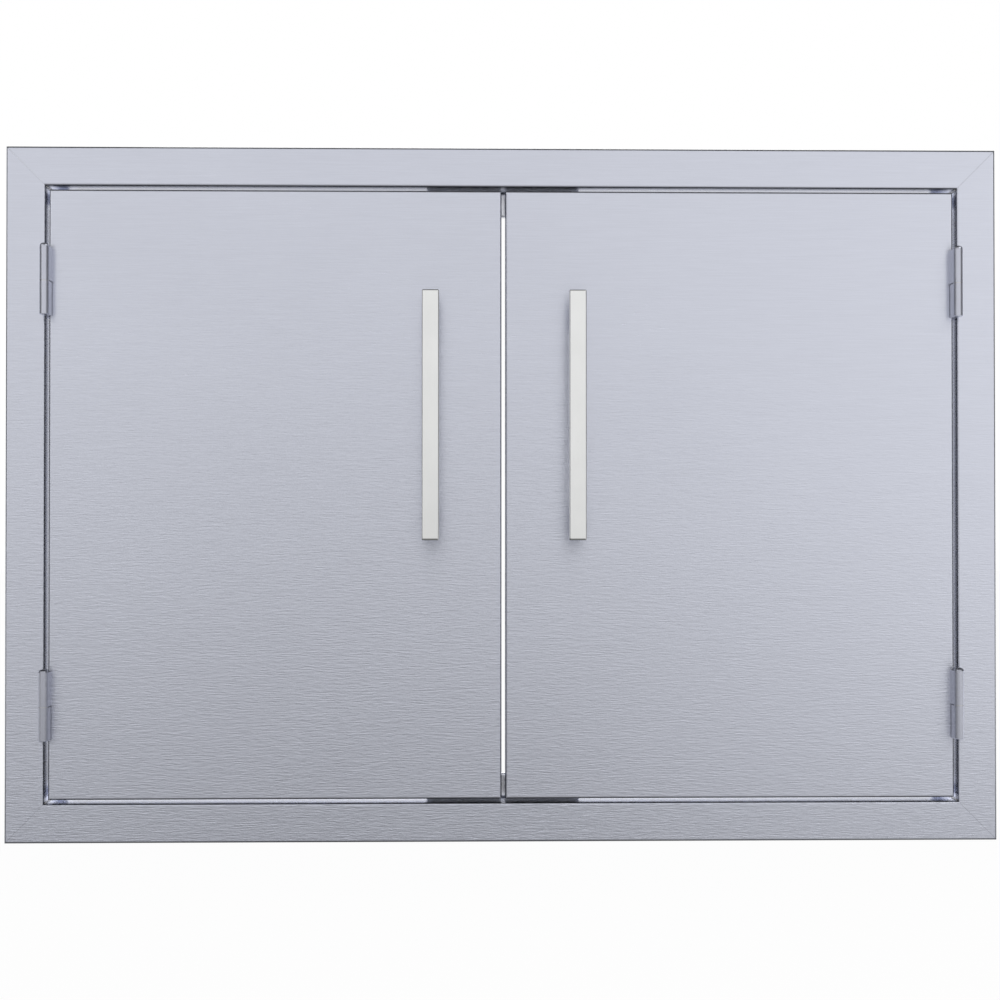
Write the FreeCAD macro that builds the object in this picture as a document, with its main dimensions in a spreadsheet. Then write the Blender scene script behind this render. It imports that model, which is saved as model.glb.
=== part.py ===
import FreeCAD, Part
import math
import os
import Sketcher

# Double access door for an outdoor kitchen island, in millimetres.
# The row frame has +Z up and the doors facing -Y. The origin is the middle of the cut-out in the island's
# surface, so the plane y = 0 is the surface that the frame's outer lip rests on.

# Each row is an alias, a value and what the size means. Every other size in this file comes from these.
SIZES = [
    ("frame_width", 762.0, "outer width of the face frame"),
    ("frame_height", 533.4, "outer height of the face frame"),
    ("face_width", 30.0, "width of the frame's visible face"),
    ("lip_depth", 10.0, "outer lip, from the face back to the island's surface"),
    ("box_depth", 45.0, "box wall, from the island's surface into the cut-out"),
    ("rear_return", 5.0, "safe edge turned in along the rear of the box wall"),
    ("frame_sheet", 1.2, "sheet thickness of the frame"),
    ("frame_bend", 1.8, "outside bend radius of the frame"),
    ("mitre_gap", 0.1, "seam left at each mitred corner"),
    ("mount_radius", 2.75, "mounting screw hole in the side walls"),
    ("mount_depth", 34.0, "mounting screw hole, from the island's surface"),
    ("mount_pitch", 360.0, "height between the two mounting holes of a side"),
    ("bracket_length", 119.0, "length of a catch bracket, along the rail"),
    ("bracket_depth", 24.0, "front of a catch bracket, behind the frame's face"),
    ("bracket_drop", 19.0, "how far a catch bracket reaches inside the box wall"),
    ("bracket_leg", 22.0, "leg of the catch bracket that lies on the box wall"),
    ("bracket_return", 5.0, "safe edge turned back along the bracket's free edge"),
    ("bracket_sheet", 1.5, "sheet thickness of the catch bracket"),
    ("bracket_bend", 1.8, "outside bend radius of the catch bracket"),
    ("side_gap", 3.0, "gap between a door and the box wall at its hinges"),
    ("edge_gap", 3.0, "gap above and below the doors"),
    ("centre_gap", 3.0, "gap between the two doors"),
    ("door_depth", 20.0, "depth of a door's pan"),
    ("door_sheet", 1.2, "sheet thickness of a door's pan"),
    ("door_bend", 1.8, "outside bend radius of a door's front edges"),
    ("door_return", 12.0, "return along the rear edge of a door's pan"),
    ("liner_sheet", 1.0, "sheet thickness of a door's liner"),
    ("liner_inset", 2.0, "edge of the liner, inside the door's outline"),
    ("liner_corner", 3.0, "corner radius of the liner"),
    ("hinge_inset", 104.7, "joint line of a hinge, inside the frame's outer edge"),
    ("hinge_proud", 8.5, "hinge axis, in front of the frame's face"),
    ("hinge_shift", 0.3, "hinge axis, nearer the door than the middle of the gap"),
    ("barrel_radius", 3.7, "outside radius of the hinge barrels"),
    ("upper_length", 29.0, "upper barrel with its domed end"),
    ("lower_length", 25.5, "lower barrel"),
    ("dome_height", 2.4, "height of the rounding at the upper barrel's end"),
    ("foot_chamfer", 0.6, "chamfer at the lower barrel's foot"),
    ("web_clear", 0.8, "space between the lower barrel's cheek and the door's face"),
    ("pin_radius", 1.9, "hinge pin"),
    ("pin_seat", 16.0, "length of the pin held in the lower barrel"),
    ("pin_run", 18.0, "length of the pin that runs in the upper barrel"),
    ("pin_play", 0.05, "radial clearance of the pin"),
    ("pin_chamfer", 0.6, "chamfer at the pin's upper end"),
    ("pin_headroom", 1.0, "space above the pin in the upper barrel"),
    ("washer_radius", 3.5, "outside radius of the bearing washer"),
    ("washer_thick", 0.6, "thickness of the bearing washer"),
    ("washer_play", 0.05, "axial clearance above the bearing washer"),
    ("leaf_thick", 2.0, "thickness of the hinge leaves"),
    ("leaf_reach", 20.0, "rear edge of the leaves, behind the frame's face"),
    ("leaf_corner", 3.0, "rear corner radius of the leaves"),
    ("handle_offset", 55.4, "middle of a handle, beside the frame's middle"),
    ("handle_rise", 59.2, "middle of a handle, above the frame's middle"),
    ("grip_width", 12.7, "width of the handle's front bar"),
    ("grip_length", 188.0, "length of the handle's front bar"),
    ("grip_depth", 8.0, "thickness of the handle's front bar"),
    ("grip_edge", 0.5, "chamfer along the front bar's edges"),
    ("web_width", 8.0, "thickness of the web behind the bar"),
    ("web_length", 137.0, "length of the web behind the bar"),
    ("web_depth", 24.0, "depth of the web, from the door to the bar"),
    ("screw_pitch", 96.0, "distance between the two handle screws"),
    ("screw_radius", 2.5, "shank of the handle screws"),
    ("screw_play", 0.25, "radial clearance of the handle screws in the door"),
    ("tap_play", 0.05, "radial clearance of the handle screws in the web"),
    ("screw_bite", 14.0, "length of the handle screw in the web"),
    ("tap_runout", 2.0, "hole in the web beyond the screw's end"),
    ("head_radius", 4.75, "handle screw head"),
    ("head_height", 3.2, "handle screw head"),
    ("key_radius", 1.7, "hexagon recess of the screw head, to its corners"),
    ("key_depth", 1.8, "depth of the hexagon recess"),
    ("plate_washer_radius", 6.0, "washer under the screw head"),
    ("plate_washer_thick", 1.0, "washer under the screw head"),
    ("catch_length", 36.0, "length of a catch housing's flange"),
    ("catch_width", 13.0, "height of a catch housing's flange"),
    ("catch_inner", 5.5, "inner end of a catch, beside the frame's middle"),
    ("catch_flange", 1.7, "thickness of the catch's flange on the bracket"),
    ("catch_rim", 2.0, "width of the flange round the housing's neck"),
    ("catch_corner", 1.5, "corner radius of the catch's flange"),
    ("catch_play", 0.1, "clearance of the neck in the bracket's cut-out"),
    ("catch_lug", 1.0, "snap lug at each end of the housing"),
    ("catch_body", 6.0, "depth of the housing behind the bracket's sheet"),
    ("catch_skin", 0.6, "housing wall in front of the magnet"),
    ("magnet_length", 24.0, "length of the magnet"),
    ("magnet_width", 6.0, "width of the magnet"),
    ("magnet_thick", 8.0, "thickness of the magnet"),
    ("magnet_play", 0.1, "clearance round the magnet"),
    ("strike_length", 34.0, "length of the strike plate"),
    ("strike_width", 8.4, "width of the strike plate"),
    ("strike_thick", 1.0, "thickness of the strike plate"),
    ("strike_corner", 2.0, "corner radius of the strike plate"),
    ("bumper_width", 7.0, "square rubber pad on a catch bracket"),
    ("bumper_side", 51.0, "bumpers, beside the frame's middle"),
    ("bumper_gap", 0.3, "space between a closed door and its bumpers"),
]

LEFT = -1
RIGHT = 1
BOTTOM = -1
TOP = 1
SIDE_NAMES = {LEFT: "left", RIGHT: "right"}
LEVEL_NAMES = {BOTTOM: "lower", TOP: "upper"}
EDGE_NAMES = {BOTTOM: "bottom", TOP: "top"}
# Places of the two fasteners of a pair, as shares of their pitch.
PAIR = (-0.5, 0.5)
# Corners of the rounding at a barrel's end, as shares of its height: inwards and down.
DOME = ((0.0, 1.0), (0.134, 0.5), (0.5, 0.134), (1.0, 0.0))
TOLERANCE = 1e-4
START_VERTEX = 1
END_VERTEX = 2
CENTRE_VERTEX = 3
SKETCH_ORIGIN = (-1, 1)


class Size:
    """A length that knows its value now and the cell formula that drives it."""

    def __init__(self, value, formula):
        self.value = value
        self.formula = formula

    def joined(self, other, sign, value):
        return Size(value, "(" + self.formula + " " + sign + " " + other.formula + ")")

    def __add__(self, other):
        other = as_size(other)
        return self.joined(other, "+", self.value + other.value)

    def __radd__(self, other):
        return as_size(other) + self

    def __sub__(self, other):
        other = as_size(other)
        return self.joined(other, "-", self.value - other.value)

    def __rsub__(self, other):
        return as_size(other) - self

    def __mul__(self, other):
        other = as_size(other)
        return self.joined(other, "*", self.value * other.value)

    def __rmul__(self, other):
        return as_size(other) * self

    def __truediv__(self, other):
        other = as_size(other)
        return self.joined(other, "/", self.value / other.value)

    def __neg__(self):
        return as_size(-1.0) * self


def as_size(number):
    if isinstance(number, Size):
        return number
    return Size(float(number), "(" + repr(float(number)) + ")")


def write_sheet(doc):
    """Put every driving dimension in a cell of its own, under its alias."""
    sheet = doc.addObject("Spreadsheet::Sheet", "sizes")
    named = {}
    for row, (alias, value, meaning) in enumerate(SIZES, start=1):
        sheet.set("A" + str(row), meaning)
        sheet.set("B" + str(row), str(value))
        sheet.setAlias("B" + str(row), alias)
        named[alias] = Size(value, "sizes." + alias)
    doc.recompute()
    return named


document = FreeCAD.newDocument("access_door")
size = write_sheet(document)
pieces = []
cuts = []

ZERO = as_size(0.0)

# Places that several pieces share, in the row frame.
half_width = size["frame_width"] / 2
half_height = size["frame_height"] / 2
front = -size["lip_depth"]
rear = size["box_depth"]
wall_x = half_width - size["face_width"]
wall_z = half_height - size["face_width"]
bracket_front = front + size["bracket_depth"]
catch_mid_z = wall_z - size["bracket_drop"] / 2
hinge_z = half_height - size["hinge_inset"]
door_outer = wall_x - size["side_gap"]
door_inner = size["centre_gap"] / 2
door_top = wall_z - size["edge_gap"]
pan_rear = front + size["door_depth"]
door_rear = pan_rear + size["liner_sheet"]
axis_x = wall_x - size["side_gap"] / 2 - size["hinge_shift"]
axis_y = front - size["hinge_proud"]
catch_middle = size["catch_inner"] + size["catch_length"] / 2
neck_length = size["catch_length"] - 2 * size["catch_rim"]
neck_width = size["catch_width"] - 2 * size["catch_rim"]
screw_hole = size["screw_radius"] + size["screw_play"]


def bind(thing, path, length):
    """Drive one property of a document object by the sheet."""
    thing.setExpression(path, as_size(length).formula)


def place(thing, x, y, z):
    """Drive an object's position by the sheet."""
    bind(thing, "Placement.Base.x", x)
    bind(thing, "Placement.Base.y", y)
    bind(thing, "Placement.Base.z", z)


def keep(thing, label):
    """Name a finished sub-part: its label is also its file's name."""
    thing.Label = label
    pieces.append(thing)
    return thing


def new_body(label):
    body = document.addObject("PartDesign::Body", label)
    return keep(body, label)


def sketch_on(body, name, role, lift=ZERO):
    """A sketch on one of the body's own origin planes, lifted along the plane's normal."""
    sketch = body.newObject("Sketcher::SketchObject", body.Name + "_" + name)
    plane = [feature for feature in body.Origin.OriginFeatures if feature.Role == role][0]
    sketch.AttachmentSupport = [(plane, "")]
    sketch.MapMode = "FlatFace"
    bind(sketch, "AttachmentOffset.Base.z", lift)
    return sketch


def fix_point(sketch, geometry, vertex, point):
    """Hold a vertex at a place that the sheet gives."""
    for kind, length in (("DistanceX", point[0]), ("DistanceY", point[1])):
        constraint = Sketcher.Constraint(kind, *SKETCH_ORIGIN, geometry, vertex, length.value)
        index = sketch.addConstraint(constraint)
        name = kind + str(index)
        sketch.renameConstraint(index, name)
        bind(sketch, "Constraints." + name, length)


def fix_radius(sketch, geometry, radius):
    index = sketch.addConstraint(Sketcher.Constraint("Radius", geometry, radius.value))
    name = "Radius" + str(index)
    sketch.renameConstraint(index, name)
    bind(sketch, "Constraints." + name, radius)


def heading(start, end):
    """Unit direction from one corner to the next, for edges along the sketch's axes."""
    run = end[0].value - start[0].value
    rise = end[1].value - start[1].value
    if abs(run) > abs(rise):
        return (math.copysign(1, run), 0)
    return (0, math.copysign(1, rise))


def moved(point, direction, distance):
    """A point shifted along an axis direction by a driven distance."""
    u, v = point[0], point[1]
    if direction[0]:
        u = u + direction[0] * distance
    if direction[1]:
        v = v + direction[1] * distance
    return (u, v)


def flat(point):
    return FreeCAD.Vector(point[0].value, point[1].value, 0)


def add_arc(sketch, entry, leaving, corner, radius, before, after):
    """A quarter round between two edges. Returns its geometry and which vertex is the entry."""
    centre = moved(moved(corner, before, -radius), after, radius)
    turns_left = before[0] * after[1] - before[1] * after[0] > 0
    first, last = (entry, leaving) if turns_left else (leaving, entry)
    angles = []
    for point in (first, last):
        arm = flat(point) - flat(centre)
        angles.append(math.atan2(arm.y, arm.x))
    circle = Part.Circle(flat(centre), FreeCAD.Vector(0, 0, 1), radius.value)
    geometry = sketch.addGeometry(Part.ArcOfCircle(circle, angles[0], angles[1]))
    fix_radius(sketch, geometry, radius)
    if turns_left:
        return geometry, START_VERTEX, END_VERTEX
    return geometry, END_VERTEX, START_VERTEX


def outline(sketch, corners):
    """A closed outline. A corner is (u, v), or (u, v, radius) where its two edges are square."""
    corners = [tuple(as_size(length) for length in corner) for corner in corners]
    count = len(corners)
    entries = []
    exits = []
    for index, corner in enumerate(corners):
        if len(corner) == 2:
            entries.append(corner)
            exits.append(corner)
            continue
        before = heading(corners[index - 1], corner)
        after = heading(corner, corners[(index + 1) % count])
        entries.append(moved(corner, before, -corner[2]))
        exits.append(moved(corner, after, corner[2]))
    lines = []
    for index in range(count):
        start = flat(exits[index])
        end = flat(entries[(index + 1) % count])
        lines.append(sketch.addGeometry(Part.LineSegment(start, end)))
    for index, corner in enumerate(corners):
        arriving = lines[index - 1]
        leaving = lines[index]
        fix_point(sketch, leaving, START_VERTEX, exits[index])
        if len(corner) == 2:
            sketch.addConstraint(
                Sketcher.Constraint("Coincident", arriving, END_VERTEX, leaving, START_VERTEX))
            continue
        fix_point(sketch, arriving, END_VERTEX, entries[index])
        before = heading(corners[index - 1], corner)
        after = heading(corner, corners[(index + 1) % count])
        arc, entry_vertex, exit_vertex = add_arc(
            sketch, entries[index], exits[index], corner, corner[2], before, after)
        sketch.addConstraint(Sketcher.Constraint("Coincident", arriving, END_VERTEX, arc, entry_vertex))
        sketch.addConstraint(Sketcher.Constraint("Coincident", leaving, START_VERTEX, arc, exit_vertex))


def circle(sketch, u, v, radius):
    centre = (as_size(u), as_size(v))
    radius = as_size(radius)
    geometry = sketch.addGeometry(Part.Circle(flat(centre), FreeCAD.Vector(0, 0, 1), radius.value))
    fix_point(sketch, geometry, CENTRE_VERTEX, centre)
    fix_radius(sketch, geometry, radius)


def rectangle(low, high, radius=None):
    """Corners of a rectangle between two opposite corners, square or rounded."""
    corners = [(low[0], low[1]), (high[0], low[1]), (high[0], high[1]), (low[0], high[1])]
    if radius is None:
        return corners
    return [corner + (radius,) for corner in corners]


def pad(body, sketch, length, backwards=False):
    feature = body.newObject("PartDesign::Pad", sketch.Name + "_pad")
    feature.Profile = sketch
    feature.Reversed = backwards
    bind(feature, "Length", length)
    return feature


def pocket(body, sketch, length, backwards=False):
    """Cut against the sketch's normal, or along it when backwards is set."""
    feature = body.newObject("PartDesign::Pocket", sketch.Name + "_pocket")
    feature.Profile = sketch
    feature.Reversed = backwards
    bind(feature, "Length", length)
    cuts.append(feature)
    return feature


def turned(body, sketch):
    """Revolve a half section about the body's Z axis."""
    feature = body.newObject("PartDesign::Revolution", sketch.Name + "_turned")
    feature.Profile = sketch
    axis = [item for item in body.Origin.OriginFeatures if item.Role == "Z_Axis"][0]
    feature.ReferenceAxis = (axis, [""])
    feature.Angle = 360.0
    return feature


def dress(body, base, kind, name, amount, chosen):
    """Fillet or chamfer the edges of a feature that pass a test."""
    document.recompute()
    edges = []
    for index, edge in enumerate(base.Shape.Edges, start=1):
        if chosen(edge):
            edges.append("Edge" + str(index))
    if not edges:
        raise RuntimeError("no edge to dress on " + body.Label)
    feature = body.newObject("PartDesign::" + kind, body.Name + "_" + name)
    feature.Base = (base, edges)
    bind(feature, "Radius" if kind == "Fillet" else "Size", amount)
    return feature


def lies_at(edge, axis, place_on_axis):
    """True when the whole edge lies in the plane at that place on an axis."""
    low = getattr(edge.BoundBox, axis + "Min")
    high = getattr(edge.BoundBox, axis + "Max")
    return abs(low - place_on_axis.value) < TOLERANCE and abs(high - place_on_axis.value) < TOLERANCE


def runs_along(edge, axis):
    """True for a straight edge that runs along one axis."""
    lengths = {name: getattr(edge.BoundBox, name + "Length") for name in "XYZ"}
    return all((lengths[name] > TOLERANCE) == (name == axis) for name in "XYZ")


FORWARDS = FreeCAD.Rotation(FreeCAD.Vector(1, 0, 0), 90)
BACKWARDS = FreeCAD.Rotation(FreeCAD.Vector(1, 0, 0), -90)


def forwards(kind, name, at, lengths):
    """A primitive that starts at a driven place and reaches towards the front."""
    thing = document.addObject("Part::" + kind, name)
    thing.Placement.Rotation = FORWARDS
    place(thing, *at)
    for path, length in lengths.items():
        bind(thing, path, length)
    return thing


def joined(name, things):
    thing = document.addObject("Part::MultiFuse", name)
    thing.Shapes = things
    return thing


def taken_from(name, base, tool):
    thing = document.addObject("Part::Cut", name)
    thing.Base = base
    thing.Tool = tool
    return thing


# Frame

def frame_section(across):
    """Corners of the frame's bent sheet as (depth, distance from the middle), for one member."""
    sheet = size["frame_sheet"]
    bend = size["frame_bend"]
    outer = across + size["face_width"]
    return [
        (ZERO, outer),
        (front, outer, bend),
        (front, across, bend),
        (rear - sheet, across),
        (rear - sheet, across - size["rear_return"]),
        (rear, across - size["rear_return"]),
        (rear, across + sheet, bend),
        (front + sheet, across + sheet),
        (front + sheet, outer - sheet),
        (ZERO, outer - sheet),
    ]


def mitre(body, along_z, sign):
    """Cut both ends of a member at 45 degrees, through the frame's outer corners."""
    offset = half_width - half_height
    shift = size["mitre_gap"] / 2
    margin = size["face_width"]
    sketch = sketch_on(body, "mitre", "XZ_Plane", -(rear + margin))
    if along_z:
        near = wall_x - size["rear_return"] - margin
        far = half_width + margin
        for end in (BOTTOM, TOP):
            outline(sketch, [
                (sign * near, end * (near - offset - shift)),
                (sign * far, end * (far - offset - shift)),
                (sign * near, end * (far - offset - shift)),
            ])
    else:
        near = wall_z - size["rear_return"] - margin
        far = half_height + margin
        for end in (LEFT, RIGHT):
            outline(sketch, [
                (end * (near + offset - shift), sign * near),
                (end * (far + offset - shift), sign * far),
                (end * (far + offset - shift), sign * near),
            ])
    pocket(body, sketch, rear - front + 2 * margin, backwards=True)


def member(label, along_z, sign):
    """One mitred member: its section swept along the opening's side, then cut at both ends."""
    body = new_body(label)
    if along_z:
        half = half_height
        sketch = sketch_on(body, "section", "XY_Plane", -half)
        corners = [(sign * corner[1], corner[0]) + corner[2:] for corner in frame_section(wall_x)]
    else:
        half = half_width
        sketch = sketch_on(body, "section", "YZ_Plane", -half)
        corners = [(corner[0], sign * corner[1]) + corner[2:] for corner in frame_section(wall_z)]
    outline(sketch, corners)
    pad(body, sketch, 2 * half)
    mitre(body, along_z, sign)
    return body


def frame_rail(level):
    member("frame_" + EDGE_NAMES[level] + "_rail", False, level)


def frame_stile(side):
    """Left or right stile, with the mounting holes in its box wall."""
    body = member("frame_" + SIDE_NAMES[side] + "_stile", True, side)
    sketch = sketch_on(body, "mount_holes", "YZ_Plane", side * (wall_x + 1.5 * size["frame_sheet"]))
    for share in PAIR:
        circle(sketch, size["mount_depth"], share * size["mount_pitch"], size["mount_radius"])
    pocket(body, sketch, 2 * size["frame_sheet"], backwards=(side < 0))


# Hinges, drawn about their own axis with the joint line at height 0

def cheek_and_leaf(body, side, outer, rear_end, low, high):
    """A barrel's flat cheek towards the door, and its leaf in the gap, both inwards from outer."""
    cheek = sketch_on(body, "cheek", "XY_Plane", low)
    outline(cheek, rectangle((outer, ZERO), (-side * size["barrel_radius"], rear_end)))
    pad(body, cheek, high - low)
    leaf = sketch_on(body, "leaf", "YZ_Plane", outer)
    end = size["hinge_proud"] + size["leaf_reach"]
    outline(leaf, [
        (ZERO, low),
        (end, low, size["leaf_corner"]),
        (end, high, size["leaf_corner"]),
        (ZERO, high),
    ])
    pad(body, leaf, size["leaf_thick"], backwards=(side > 0))


def bore(body, lift, length, upwards):
    sketch = sketch_on(body, "bore", "XY_Plane", lift)
    circle(sketch, ZERO, ZERO, size["pin_radius"] + size["pin_play"])
    pocket(body, sketch, length, backwards=upwards)


def frame_leaf(side, level):
    """Lower barrel of a hinge on the frame: a blind seat for the pin, a cheek and a leaf."""
    body = new_body(SIDE_NAMES[side] + "_" + LEVEL_NAMES[level] + "_hinge_frame_leaf")
    radius = size["barrel_radius"]
    foot = -size["lower_length"]
    section = sketch_on(body, "section", "XZ_Plane")
    outline(section, [
        (ZERO, foot),
        (radius - size["foot_chamfer"], foot),
        (radius, foot + size["foot_chamfer"]),
        (radius, ZERO),
        (ZERO, ZERO),
    ])
    turned(body, section)
    rear_end = size["hinge_proud"] - size["web_clear"]
    cheek_and_leaf(body, side, side * (wall_x - axis_x), rear_end, foot, ZERO)
    bore(body, ZERO, size["pin_seat"], False)
    place(body, side * axis_x, axis_y, level * hinge_z)


def door_leaf(side, level):
    """Upper barrel of a hinge on the door: domed, bored from below, with its cheek and leaf."""
    body = new_body(SIDE_NAMES[side] + "_" + LEVEL_NAMES[level] + "_hinge_door_leaf")
    radius = size["barrel_radius"]
    base = size["washer_thick"] + size["washer_play"]
    crown = size["upper_length"]
    rounding = size["dome_height"]
    dome = [(radius - across * rounding, crown - down * rounding) for across, down in DOME]
    section = sketch_on(body, "section", "XZ_Plane")
    outline(section, [(ZERO, base), (radius, base)] + dome + [(ZERO, crown)])
    turned(body, section)
    outer = side * (door_outer + size["leaf_thick"] - axis_x)
    cheek_and_leaf(body, side, outer, size["hinge_proud"], base, crown - rounding)
    bore(body, base, size["washer_thick"] + size["pin_run"] + size["pin_headroom"] - base, True)
    place(body, side * axis_x, axis_y, level * hinge_z)


def hinge_pin(side, level):
    body = new_body(SIDE_NAMES[side] + "_" + LEVEL_NAMES[level] + "_hinge_pin")
    radius = size["pin_radius"]
    tip = size["washer_thick"] + size["pin_run"]
    section = sketch_on(body, "section", "XZ_Plane")
    outline(section, [
        (ZERO, -size["pin_seat"]),
        (radius, -size["pin_seat"]),
        (radius, tip - size["pin_chamfer"]),
        (radius - size["pin_chamfer"], tip),
        (ZERO, tip),
    ])
    turned(body, section)
    place(body, side * axis_x, axis_y, level * hinge_z)


def hinge_washer(side, level):
    body = new_body(SIDE_NAMES[side] + "_" + LEVEL_NAMES[level] + "_hinge_washer")
    sketch = sketch_on(body, "ring", "XY_Plane")
    circle(sketch, ZERO, ZERO, size["washer_radius"])
    circle(sketch, ZERO, ZERO, size["pin_radius"] + size["pin_play"])
    pad(body, sketch, size["washer_thick"])
    place(body, side * axis_x, axis_y, level * hinge_z)


# Catches

def catch_bracket(level):
    """Bracket in the middle of a rail: its leg is spot-welded to the wall, its face holds two catches."""
    body = new_body(EDGE_NAMES[level] + "_catch_bracket")
    sheet = size["bracket_sheet"]
    bend = size["bracket_bend"]
    edge = wall_z - size["bracket_drop"]
    rear_of_leg = bracket_front + size["bracket_leg"]
    rear_of_lip = bracket_front + size["bracket_return"]
    section = sketch_on(body, "section", "YZ_Plane", -size["bracket_length"] / 2)
    outline(section, [(corner[0], level * corner[1]) + corner[2:] for corner in (
        (rear_of_leg, wall_z),
        (bracket_front, wall_z, bend),
        (bracket_front, edge, bend),
        (rear_of_lip, edge),
        (rear_of_lip, edge + sheet),
        (bracket_front + sheet, edge + sheet),
        (bracket_front + sheet, wall_z - sheet),
        (rear_of_leg, wall_z - sheet),
    )])
    pad(body, section, size["bracket_length"])
    cutouts = sketch_on(body, "catch_cutouts", "XZ_Plane", -bracket_front)
    half_x = neck_length / 2 + size["catch_play"]
    half_z = neck_width / 2 + size["catch_play"]
    for side in (LEFT, RIGHT):
        middle = side * catch_middle
        outline(cutouts, rectangle(
            (middle - half_x, level * catch_mid_z - half_z),
            (middle + half_x, level * catch_mid_z + half_z)))
    pocket(body, cutouts, sheet)


def catch_place(thing, side, level):
    """Turn a piece drawn with the bracket's face at height 0, and what is behind it at +Z."""
    thing.Placement.Rotation = BACKWARDS
    place(thing, side * catch_middle, bracket_front, level * catch_mid_z)


def catch_housing(side, level):
    """Moulded catch: a flange on the bracket, a neck through it and two snap lugs behind it."""
    body = new_body(SIDE_NAMES[side] + "_" + LEVEL_NAMES[level] + "_catch_housing")
    sheet = size["bracket_sheet"]
    layers = [
        ("flange", -size["catch_flange"], size["catch_flange"],
         size["catch_length"] / 2, size["catch_width"] / 2, size["catch_corner"]),
        ("neck", ZERO, sheet, neck_length / 2, neck_width / 2, None),
        ("lugs", sheet, size["catch_body"],
         neck_length / 2 + size["catch_lug"], neck_width / 2, None),
    ]
    for name, lift, height, half_x, half_y, radius in layers:
        sketch = sketch_on(body, name, "XY_Plane", lift)
        outline(sketch, rectangle((-half_x, -half_y), (half_x, half_y), radius))
        pad(body, sketch, height)
    top = sheet + size["catch_body"]
    slot = sketch_on(body, "magnet_slot", "XY_Plane", top)
    half_x = size["magnet_length"] / 2 + size["magnet_play"]
    half_y = size["magnet_width"] / 2 + size["magnet_play"]
    outline(slot, rectangle((-half_x, -half_y), (half_x, half_y)))
    pocket(body, slot, top + size["catch_flange"] - size["catch_skin"])
    catch_place(body, side, level)


def catch_magnet(side, level):
    body = new_body(SIDE_NAMES[side] + "_" + LEVEL_NAMES[level] + "_catch_magnet")
    sketch = sketch_on(body, "bar", "XY_Plane", size["catch_skin"] - size["catch_flange"])
    half_x = size["magnet_length"] / 2
    half_y = size["magnet_width"] / 2
    outline(sketch, rectangle((-half_x, -half_y), (half_x, half_y)))
    pad(body, sketch, size["magnet_thick"])
    catch_place(body, side, level)


def bumpers():
    """Four square rubber pads stuck on the brackets, just clear of the closed doors."""
    width = size["bumper_width"]
    solids = []
    for level in (BOTTOM, TOP):
        for side in (LEFT, RIGHT):
            thing = document.addObject("Part::Box", "bumper_" + str(len(solids) + 1))
            place(thing, side * size["bumper_side"] - width / 2, door_rear + size["bumper_gap"],
                  level * catch_mid_z - width / 2)
            bind(thing, "Length", width)
            bind(thing, "Width", bracket_front - door_rear - size["bumper_gap"])
            bind(thing, "Height", width)
            solids.append(thing)
    keep(joined("door_bumpers", solids), "door_bumpers")


# Doors

def door_skin(side):
    """Bent pan of a door: its rear edges turn in all round, and its corners are welded."""
    body = new_body(SIDE_NAMES[side] + "_door_skin")
    sheet = size["door_sheet"]
    inner = side * door_inner
    outer = side * door_outer

    def inset(amount):
        return rectangle(
            (inner + side * amount, -door_top + amount),
            (outer - side * amount, door_top - amount))

    face = sketch_on(body, "face", "XZ_Plane", -front)
    outline(face, inset(ZERO))
    block = pad(body, face, size["door_depth"], backwards=True)
    dress(body, block, "Fillet", "front_bends", size["door_bend"],
          lambda edge: lies_at(edge, "Y", front))
    mouth = sketch_on(body, "mouth", "XZ_Plane", -pan_rear)
    outline(mouth, inset(size["door_return"]))
    pocket(body, mouth, size["door_depth"] - sheet, backwards=True)
    hollow = sketch_on(body, "hollow", "XZ_Plane", -(pan_rear - sheet))
    outline(hollow, inset(sheet))
    pocket(body, hollow, size["door_depth"] - 2 * sheet, backwards=True)

    screws = sketch_on(body, "handle_holes", "XZ_Plane", -front)
    for share in PAIR:
        height = size["handle_rise"] + share * size["screw_pitch"]
        circle(screws, side * size["handle_offset"], height, screw_hole)
    pocket(body, screws, 2 * sheet)


def door_liner(side):
    """Flat back panel, spot-welded on the pan's returns."""
    body = new_body(SIDE_NAMES[side] + "_door_liner")
    inset = size["liner_inset"]
    sketch = sketch_on(body, "panel", "XZ_Plane", -pan_rear)
    outline(sketch, rectangle(
        (side * (door_inner + inset), -door_top + inset),
        (side * (door_outer - inset), door_top - inset), size["liner_corner"]))
    for share in PAIR:
        height = size["handle_rise"] + share * size["screw_pitch"]
        circle(sketch, side * size["handle_offset"], height, screw_hole)
    pad(body, sketch, size["liner_sheet"], backwards=True)


def strike_plate(side, level):
    """Steel plate on the door's liner, opposite the catch."""
    body = new_body(SIDE_NAMES[side] + "_" + LEVEL_NAMES[level] + "_strike_plate")
    sketch = sketch_on(body, "plate", "XZ_Plane", -door_rear)
    half_x = size["strike_length"] / 2
    half_z = size["strike_width"] / 2
    middle = side * catch_middle
    outline(sketch, rectangle(
        (middle - half_x, level * catch_mid_z - half_z),
        (middle + half_x, level * catch_mid_z + half_z), size["strike_corner"]))
    pad(body, sketch, size["strike_thick"], backwards=True)


def handle_bar(side):
    """Front bar of the handle, with its front edges and ends chamfered."""
    body = new_body(SIDE_NAMES[side] + "_handle_bar")
    half_x = size["grip_width"] / 2
    half_z = size["grip_length"] / 2
    middle = side * size["handle_offset"]
    back = front - size["web_depth"]
    sketch = sketch_on(body, "face", "XZ_Plane", -back)
    outline(sketch, rectangle(
        (middle - half_x, size["handle_rise"] - half_z),
        (middle + half_x, size["handle_rise"] + half_z)))
    block = pad(body, sketch, size["grip_depth"])
    tip = back - size["grip_depth"]
    dress(body, block, "Chamfer", "edges", size["grip_edge"],
          lambda edge: lies_at(edge, "Y", tip) or runs_along(edge, "Y"))


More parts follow.
